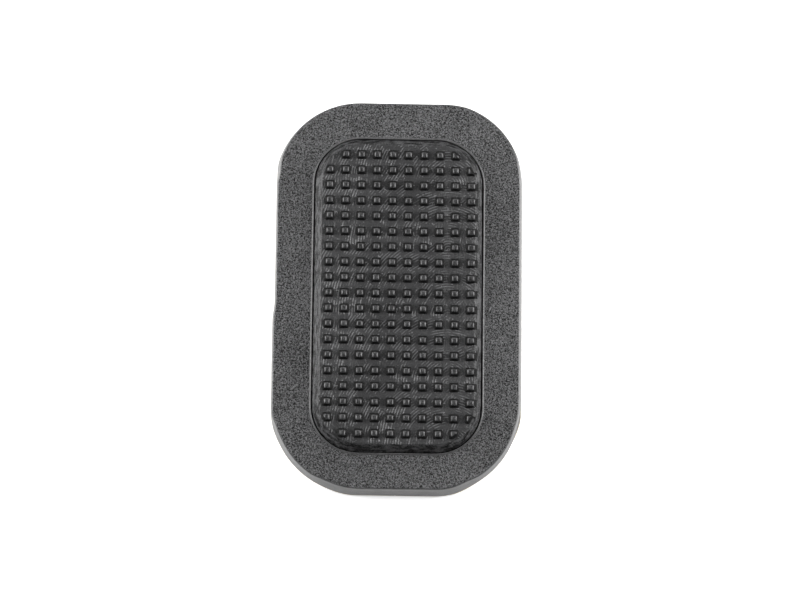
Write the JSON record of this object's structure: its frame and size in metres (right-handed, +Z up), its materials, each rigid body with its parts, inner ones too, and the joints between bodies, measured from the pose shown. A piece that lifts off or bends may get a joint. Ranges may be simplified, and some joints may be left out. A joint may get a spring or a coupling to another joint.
{
  "type": "snowboard stomp pad",
  "caption": "Stick-on traction pad for a snowboard: a soft foam mat framing a raised rubber tread block with a grid of square studs, on adhesive tape with a split release liner.",
  "frame": {"origin": "centre of the underside: the middle of the release liner's lower face, which lies on the shelf or table", "axes": "+X across the pad's short side, +Y along its long side, +Z up, out of the studs towards the boot"},
  "size_m": [0.1, 0.16, 0.0116],
  "materials": {
    "mat_foam": "matte",
    "tread_rubber": "satin",
    "core_foam": "matte",
    "bond_film": "satin",
    "tape_foam": "matte",
    "liner_paper": "satin"
  },
  "bodies": {
    "pad": {"foam_mat": "mat_foam", "tread_block": "tread_rubber", "tread_core": "core_foam", "lip_bond_film": "bond_film", "core_bond_film": "bond_film", "mounting_tape": "tape_foam"},
    "liner_left": {"liner_left": "liner_paper"},
    "liner_right": {"liner_right": "liner_paper"}
  },
  "joints": [
    {"name": "liner_left_pull", "type": "slide", "parent": "pad", "child": "liner_left", "axis": [-1, 0, 0], "range_m": [0, 0.055]},
    {"name": "liner_right_pull", "type": "slide", "parent": "pad", "child": "liner_right", "axis": [1, 0, 0], "range_m": [0, 0.055]}
  ]
}
